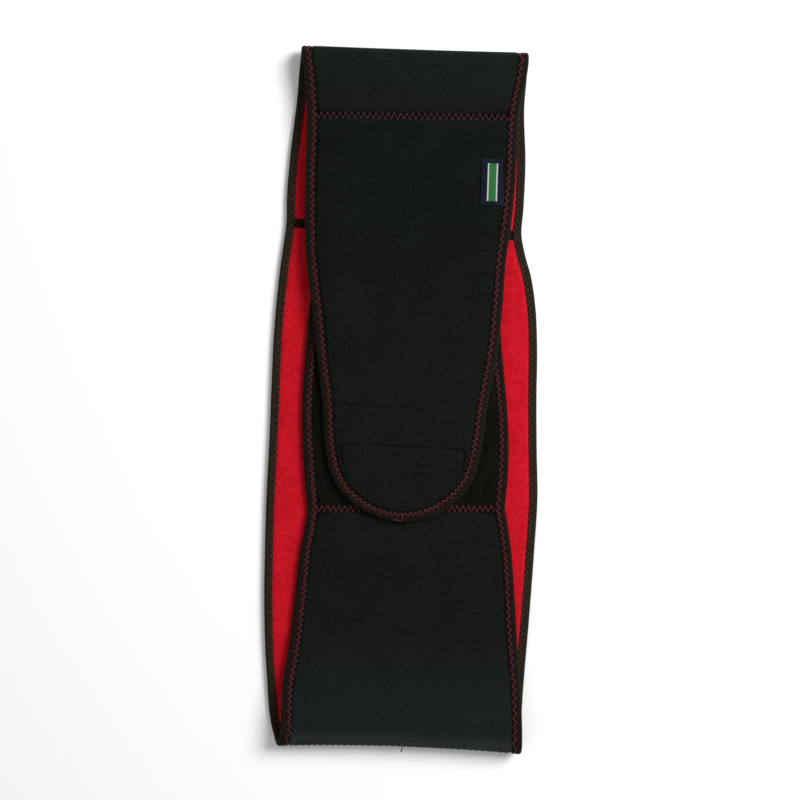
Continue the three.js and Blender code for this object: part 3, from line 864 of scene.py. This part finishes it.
# Red linings
LINING_INSETS = (4.8, 5.3, 5.8, 6.3, 6.8, 7.4, 8.1, 9.0, 10.2, 12.0, 14.0)
LINING_COLUMNS = 56
LINING_BACK = 0.9
TAPE_CLEAR = SEAM_TAPE_HALF - 0.1


def lining(name, first, last, seams, flat, area, rests_on):
    """A red lining, pinched beside the tapes that cover its cut ends."""

    def inner(x, s, inset):
        n = inner_height(x, s, inset) + 0.22 * (inset < 5.6)
        for q in seams:
            n = n + 0.3 * bell(np.abs(from_seam(q, x, s)) - TAPE_CLEAR, 1.3)
        return n

    def outer(x, s, inset):
        return inner_height(x, s, inset) + LINING_BACK

    rows = row_numbers(first, last)
    keep = np.ones(len(rows), dtype=bool)
    centres = edge("left", rows)[0][:, 1]
    for q in seams:
        keep &= np.abs(centres - stations[q, 1]) > TAPE_CLEAR
    piece = layer(name, rows[keep], LINING_INSETS, LINING_COLUMNS, outer, inner, RED)
    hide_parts(name)


# Linings: name, first station, last station, taped seams, flat size and area in metres, what is below
for row in (
    ("back_lining", FOLD_SEAM, BACK_SEAM, (FOLD_SEAM, BACK_SEAM), (0.186, 0.373), 0.066, ["back_panel"]),
    (
        "upper_side_lining", BACK_SEAM, FRONT_SEAM, (BACK_SEAM,),
        (0.16, 0.177), 0.0265, ["upper_side_panel"],
    ),
    (
        "lower_side_lining", LOOP_SEAM, FOLD_SEAM, (FOLD_SEAM,),
        (0.165, 0.172), 0.0258, ["lower_side_panel"],
    ),
):
    lining(*row)


# Edge binding, all the way round the belt
def perimeter():
    """Cumulative length, plan points and inward directions of the whole edge, closed."""
    fine = np.unique(np.concatenate([np.linspace(i, i + 1, 25) for i in range(LAST)]))
    left, left_in = edge("left", fine)
    right, right_in = edge("right", fine)
    line = np.vstack([left, right[::-1][1:]])
    inward = np.vstack([left_in, right_in[::-1][1:]])
    length = np.concatenate([[0.0], np.cumsum(np.linalg.norm(np.diff(line, axis=0), axis=1))])
    return length, line, inward


EDGE_LENGTH, EDGE_LINE, EDGE_INWARD = perimeter()
EDGE_TOTAL = EDGE_LENGTH[-1]


def edge_table(tables):
    """Values all round the edge from one table of (place s, value) for each side."""
    left, right = (np.interp(EDGE_LINE[:, 1], *np.array(tables[side]).T) for side in ("left", "right"))
    return np.where(np.arange(len(EDGE_LINE)) <= len(EDGE_LINE) // 2, left, right)


def stitch_phase():
    """Number of zigzags from the start of the edge to each of its points, whole all round."""
    pitch = edge_table(EDGE_PITCHES)
    steps = np.diff(EDGE_LENGTH) * 2 / (pitch[1:] + pitch[:-1])
    phase = np.concatenate([[0.0], np.cumsum(steps)])
    return phase * round(phase[-1]) / phase[-1]


EDGE_PHASE = stitch_phase()
STITCHES = round(EDGE_PHASE[-1])


def at_edge(distance, inset):
    """Plan points at a distance round the edge and an inset from it."""
    d = np.mod(distance, EDGE_TOTAL)
    x, s, ix, is_ = (
        np.interp(d, EDGE_LENGTH, values) for values in (*EDGE_LINE.T, *EDGE_INWARD.T)
    )
    norm = np.hypot(ix, is_)
    return x + ix / norm * inset, s + is_ / norm * inset


# The binding's section, from its end on the outer face and round the edge: inset, height
BINDING_PROFILE = (
    (7.0, 3.90), (6.93, 4.12), (6.6, 4.22), (5.9, 4.2), (5.2, 4.16), (4.3, 4.22), (3.3, 4.36),
    (2.3, 4.4), (1.4, 4.27), (0.7, 3.85), (0.2, 3.15), (0.0, 2.25), (0.2, 1.35), (0.7, 0.65),
    (1.4, 0.23), (2.3, 0.10), (3.3, 0.14), (4.1, 0.28), (4.8, 0.33), (5.4, 0.3), (5.95, 0.28),
    (6.23, 0.38), (6.3, 0.6), (6.05, 0.82), (3.0, 0.84), (1.3, 0.95), (0.85, 2.25), (1.3, 3.55),
    (3.0, 3.68), (6.7, 3.7),
)
BINDING_STEP = 1.3
STITCH_DIP = (5.2, 1.2)
BINDING_PUFF = (2.3, 1.4)
CORNER_WIDENING = 3.6
CORNER_FROM = BACK_S + 34
CORNER_REACH = 20


def binding():
    """The edge tape in one closed run. Its plan is (distance round the edge, along its section, 0)."""
    count = round(EDGE_TOTAL / BINDING_STEP)
    distance = np.arange(count) * EDGE_TOTAL / count
    profile = np.array(BINDING_PROFILE)
    pull = np.cos(2 * math.pi * np.interp(distance, EDGE_LENGTH, EDGE_PHASE))
    uneven = ripple(distance, 0.0 * distance, 34, 21)
    inset = np.repeat(profile[None, :, 0], count, axis=0)
    height = np.repeat(profile[None, :, 1], count, axis=0)
    near_end = smooth((inset - 5.0) / 2.0)
    inset = inset + near_end * (0.16 * pull + 0.22 * uneven)[:, None]
    outer_side = np.where(height > THICKNESS / 2, 1.0, -1.0)
    dip = bell(inset - STITCH_DIP[0], STITCH_DIP[1]) * (0.05 + 0.05 * pull[:, None])
    puff = bell(inset - BINDING_PUFF[0], BINDING_PUFF[1])
    puff = puff * (0.05 * ripple(distance, 0.0 * distance, 11, 5))[:, None]
    height = height + outer_side * (puff - dip)
    x, s = at_edge(distance[:, None], 0.0 * inset)
    by_fold = (x < 0) & (s > FOLD_SEAM_S) & (outer_side < 0)
    widening = CORNER_WIDENING * smooth((CORNER_FROM - s) / CORNER_REACH)
    inset = inset + near_end * by_fold * widening
    x, s = at_edge(distance[:, None], inset)
    points = place(x, s, height, inset)
    across = np.concatenate([[0], np.cumsum(np.linalg.norm(np.diff(profile, axis=0), axis=1))])
    plan = np.zeros(points.shape)
    plan[:, :, 0] = distance[:, None]
    plan[:, :, 1] = across[None, :]
    faces = ring_faces(count, len(profile), True)
    piece = mesh_object("edge_binding", points, faces, plan, TAPE)
    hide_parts("edge_binding")


binding()


# Stitches
LEG_STEPS = 5
HOLE_DEPTH = 0.22
EDGE_ARCH = 0.42
SEAM_ARCH = 0.36
FOLD_ARCH = 0.12
FLOOR_CLEAR = 0.02


def stitched(name, x, s, inset, base, side, material, arch):
    """A thread that goes from hole to hole over a face. base gives the face height."""
    t = np.arange(LEG_STEPS) / LEG_STEPS
    lift = side * (arch * np.sin(math.pi * t) ** 0.6 - HOLE_DEPTH)

    def legs(values):
        return (values[:-1, None] * (1 - t) + values[1:, None] * t).reshape(-1)

    px, ps, pi = legs(x), legs(s), legs(inset)
    n = legs(base) + np.tile(lift, len(x) - 1)
    on_floor = (ps > LOW_FOLD_S) & (ps < ROOT_S)
    n = np.where(on_floor, np.minimum(n, THICKNESS - THREAD_RADIUS - FLOOR_CLEAR), n)
    points = place(px, ps, n, pi)
    outside = place(px, ps, n + side, pi)
    thread(name, points, outside - points, THREAD_RADIUS, material)


OUTER_STITCH_HALF = 1.55
INNER_STITCH_HALF = 1.35
OUTER_STITCH_HEIGHT = 4.2
INNER_STITCH_HEIGHT = 0.3


def edge_zigzag(name, side, lines, half, base, material):
    """The zigzag that holds the binding, on the outer or the inner face."""
    count = 2 * STITCHES
    k = np.arange(count + 1)
    rng = np.random.default_rng(8)
    jitter = rng.normal(0, 0.15, (2, count + 1))
    distance = np.interp(k / 2, EDGE_PHASE, EDGE_LENGTH) + jitter[0]
    middle = np.interp(distance, EDGE_LENGTH, edge_table(lines)) + 0.32 * ripple(distance, 0.0 * k, 62, 9)
    inset = middle + np.where(k % 2 == 0, -half, half) + jitter[1]
    distance[-1], inset[-1] = distance[0] + EDGE_TOTAL, inset[0]
    x, s = at_edge(distance, inset)
    stitched(name, x, s, inset, np.full(count + 1, base), side, material, EDGE_ARCH)


edge_zigzag(
    "edge_zigzag_outer", 1.0, OUTER_STITCH_LINE, OUTER_STITCH_HALF, OUTER_STITCH_HEIGHT, EDGE_THREAD
)
edge_zigzag(
    "edge_zigzag_inner", -1.0, INNER_STITCH_LINE, INNER_STITCH_HALF, INNER_STITCH_HEIGHT, INNER_THREAD
)

SEAM_STITCH_INSET = 6.4


def seam_zigzag(name, q, pitch, material, arch):
    """The zigzag over a cross seam, from binding to binding."""
    left_x, left_s, right_x, right_s = stations[q]
    start, end = left_x + SEAM_STITCH_INSET, right_x - SEAM_STITCH_INSET
    count = 2 * round((end - start) / pitch)
    rng = np.random.default_rng(q)
    k = np.arange(count + 1)
    x = start + (end - start) * k / count + rng.normal(0, 0.1, count + 1)
    line = left_s + (right_s - left_s) * (x - left_x) / (right_x - left_x)
    s = line + np.where(k % 2 == 0, -1.0, 1.0) * SEAM_STITCH_HALF + rng.normal(0, 0.12, count + 1)
    inset = np.minimum(x - left_x, right_x - x)
    stitched(name, x, s, inset, outer_height(x, s, inset), 1.0, material, arch)


# Seam zigzags: name, seam, length of one zigzag, material, arch of a stitch
for row in (
    ("lower_front_zigzag", LOOP_SEAM, 4.15, EDGE_THREAD, SEAM_ARCH),
    ("lower_back_zigzag", FOLD_SEAM, 4.4, SEAM_THREAD, FOLD_ARCH),
    ("upper_back_zigzag", BACK_SEAM, 4.4, SEAM_THREAD, SEAM_ARCH),
    ("upper_front_zigzag", FRONT_SEAM, 4.4, SEAM_THREAD, SEAM_ARCH),
):
    seam_zigzag(*row)

# Seam tapes on the inner face of the back seams
SEAM_TAPE_ROWS = (-1.0, -0.93, -0.75, -0.4, 0.0, 0.4, 0.75, 0.93, 1.0)
SEAM_TAPE_INSETS = (7.05, 7.4, 9.0)
SEAM_TAPE_COLUMNS = 80
SEAM_TAPE_TOP = 0.95


def seam_tape(name, q):
    """The tape over one back seam, crowned across its width."""
    offsets = np.array(SEAM_TAPE_ROWS) * SEAM_TAPE_HALF
    before = stations[q, 1] - stations[q - 1, 1]
    after = stations[q + 1, 1] - stations[q, 1]
    rows = np.where(offsets < 0, q + offsets / before, q + offsets / after)

    def inner(x, s, inset):
        crown = smooth((SEAM_TAPE_HALF - np.abs(from_seam(q, x, s))) / 0.9)
        return 0.3 - 0.5 * crown + 0.05 * ripple(x, s, 12, 31)

    def outer(x, s, inset):
        return 0.0 * s + SEAM_TAPE_TOP

    piece = layer(name, rows, SEAM_TAPE_INSETS, SEAM_TAPE_COLUMNS, outer, inner, TAPE)
    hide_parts(name)


seam_tape("upper_seam_tape", BACK_SEAM)
seam_tape("lower_seam_tape", FOLD_SEAM)

# Hook patch under the tongue
HOOK_BACK = -0.15
HOOK_FACE = -1.1
HOOK_COLUMNS = 30


def hook_patch():
    """The hook patch, in the D outline that shows through the tongue."""
    top = np.interp(HOOK_TOP_S, stations[FRONT_SEAM:, 1], np.arange(FRONT_SEAM, LAST + 1))
    rows = np.concatenate([[top], [r for r in row_numbers(FRONT_SEAM, LAST) if r > top + 0.05]])

    def outer(x, s, inset):
        return 0.0 * s + HOOK_BACK

    def inner(x, s, inset):
        return 0.0 * s + HOOK_FACE + 0.06 * ripple(x, s, 5, 41)

    insets = (HOOK_INSET, HOOK_INSET + 0.3, HOOK_INSET + 1.5)
    piece = layer("hook_patch", rows, insets, HOOK_COLUMNS, outer, inner, HOOK)
    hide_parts("hook_patch")


hook_patch()

# Woven label
LABEL_LENGTH = 34.0
LABEL_FROM_SEAM = 29.5
LABEL_X = (49.8, 67.2)
LABEL_WIDTH = LABEL_X[1] - LABEL_X[0]
LABEL_INSET = 7.2
LABEL_THICKNESS = 0.5
LABEL_GAP = 0.08
LABEL_CURL = 0.25
LABEL_ROUNDING = 0.25
LABEL_GRID = (19, 31)


def label():
    """The woven label, sewn flat beside the edge tape, with a free edge that curls up a little."""
    low_s = FRONT_SEAM_S + LABEL_FROM_SEAM
    u, v = np.meshgrid(*(np.linspace(0, 1, count) for count in LABEL_GRID))
    x = LABEL_X[0] + LABEL_WIDTH * u
    s = low_s + LABEL_LENGTH * v
    inset = LABEL_INSET + (LABEL_X[1] - x)
    rim = np.minimum(np.minimum(u, 1 - u) * LABEL_WIDTH, np.minimum(v, 1 - v) * LABEL_LENGTH)
    base = outer_height(x, s, inset)
    curl = LABEL_CURL * (1 - u) ** 3 + 0.12 * ripple(x, s, 15, 51)
    top = base + LABEL_THICKNESS + curl - LABEL_ROUNDING * (1 - smooth(rim))
    under = base + LABEL_GAP + np.maximum(curl, 0) * 0.9
    look = label_look(LABEL_X[0], LABEL_X[1], low_s, low_s + LABEL_LENGTH)
    piece = closed_sheet("woven_label", x, s, top, under, inset, look)
    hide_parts("woven_label")


label()


# Loose thread ends
SMOOTHING_STEPS = 6
POINTS_PER_LEG = 8


def loose_thread(name, points, radius, material):
    """A short thread end through points in the part's frame, in millimetres."""
    points = np.array(points, dtype=float)
    k = np.arange(len(points))
    fine = np.linspace(0, len(points) - 1, POINTS_PER_LEG * len(points))
    smoothed = np.stack([np.interp(fine, k, points[:, c]) for c in range(3)], axis=1)
    for _ in range(SMOOTHING_STEPS):
        smoothed[1:-1] = (smoothed[:-2] + 2 * smoothed[1:-1] + smoothed[2:]) / 4
    normals = np.tile([0.05, 0.03, 1.0], (len(smoothed), 1))
    thread(name, smoothed, normals, radius, material)


loose_thread(
    "tip_thread_end",
    [
        (0.4, -82.9, 14.9), (0.55, -85.5, 15.6), (0.55, -87.6, 15.3), (-0.3, -89.0, 14.4),
        (-1.9, -88.6, 14.9), (-3.8, -87.6, 15.2), (-5.2, -88.2, 14.6), (-6.2, -88.9, 13.6),
    ],
    0.28,
    EDGE_THREAD,
)
loose_thread(
    "fold_thread_end",
    [(5.9, -254.0, 12.2), (5.8, -256.2, 10.8), (5.5, -257.8, 9.8), (5.1, -258.4, 9.0)],
    0.42,
    DARK_THREAD,
)

# Lint: place x, place s, angle
LINT = thread_look("lint", (0.10, 0.11, 0.10), (0.22, 0.24, 0.22))
LINT_PLACES = (
    (-40.9, TONGUE_ZERO_S - 188.7, 0.4),
    (15.2, TONGUE_ZERO_S - 36.4, 1.1),
    (8.0, LOWER_ZERO_S + 101.6, 2.0),
    (33.7, LOWER_ZERO_S + 125.7, 0.8),
    (22.0, LOWER_ZERO_S + 220.4, 2.6),
)
LINT_HALF = 0.45
LINT_BEND = 0.3
LINT_RADIUS = 0.09
LINT_LIFT = 0.06
for number, (x, s, angle) in enumerate(LINT_PLACES, 1):
    t = np.linspace(-LINT_HALF, LINT_HALF, 5)
    px = x + t * math.cos(angle)
    ps = s + t * math.sin(angle) + LINT_BEND * t**2
    far_in = np.full(len(t), 40.0)
    height = outer_height(px, ps, far_in) + LINT_LIFT
    loose_thread(f"lint_{number}", place(px, ps, height, far_in), LINT_RADIUS, LINT)

# Floor
FLOOR_HALF = 6.0
FLOOR_Z = -0.0002
FLOOR_WHITE = 0.95
CORNERS = ((-1, -1), (1, -1), (1, 1), (-1, 1))
floor_mesh = bpy.data.meshes.new("floor")
floor_mesh.from_pydata([(a * FLOOR_HALF, b * FLOOR_HALF, FLOOR_Z) for a, b in CORNERS], [], [(0, 1, 2, 3)])
floor = bpy.data.objects.new("floor", floor_mesh)
bpy.context.scene.collection.objects.link(floor)
floor_look = bpy.data.materials.new("floor_paper")
floor_look.use_nodes = True
floor_shader = floor_look.node_tree.nodes["Principled BSDF"]
floor_shader.inputs["Base Color"].default_value = (FLOOR_WHITE, FLOOR_WHITE, FLOOR_WHITE, 1)
floor_shader.inputs["Roughness"].default_value = 0.9
floor_mesh.materials.append(floor_look)

# Light
WORLD_STRENGTH = 0.36
world = bpy.data.worlds.new("studio")
world.use_nodes = True
background = world.node_tree.nodes["Background"]
background.inputs["Color"].default_value = (1, 1, 1, 1)
background.inputs["Strength"].default_value = WORLD_STRENGTH
bpy.context.scene.world = world


def soft_light(name, place_at, size, power):
    """A round soft light that faces the part. Sizes are in metres."""
    lamp = bpy.data.lights.new(name, "AREA")
    lamp.shape = "DISK"
    lamp.size = size
    lamp.energy = power
    holder = bpy.data.objects.new(name, lamp)
    holder.location = place_at
    holder.rotation_euler = (-Vector(place_at)).to_track_quat("-Z", "Y").to_euler()
    bpy.context.scene.collection.objects.link(holder)


soft_light("key", (1.35, 0.8, 1.4), 1.2, 53)
soft_light("fill", (-1.4, -0.6, 1.6), 1.4, 5)

# Camera, straight above as in the photo
CAMERA_PLACE = (-0.0038, -0.0004, 1.1)
CAMERA_TURN = 1.85
VIEW_WIDTH = 0.592
SENSOR_WIDTH = 36.0
camera_data = bpy.data.cameras.new("camera")
camera_data.sensor_width = SENSOR_WIDTH
camera_data.lens = SENSOR_WIDTH / 2 * CAMERA_PLACE[2] / (VIEW_WIDTH / 2)
camera = bpy.data.objects.new("camera", camera_data)
camera.location = CAMERA_PLACE
camera.rotation_euler = (0, 0, math.radians(CAMERA_TURN))
bpy.context.scene.collection.objects.link(camera)
bpy.context.scene.camera = camera
bpy.context.scene.view_settings.view_transform = "Standard"
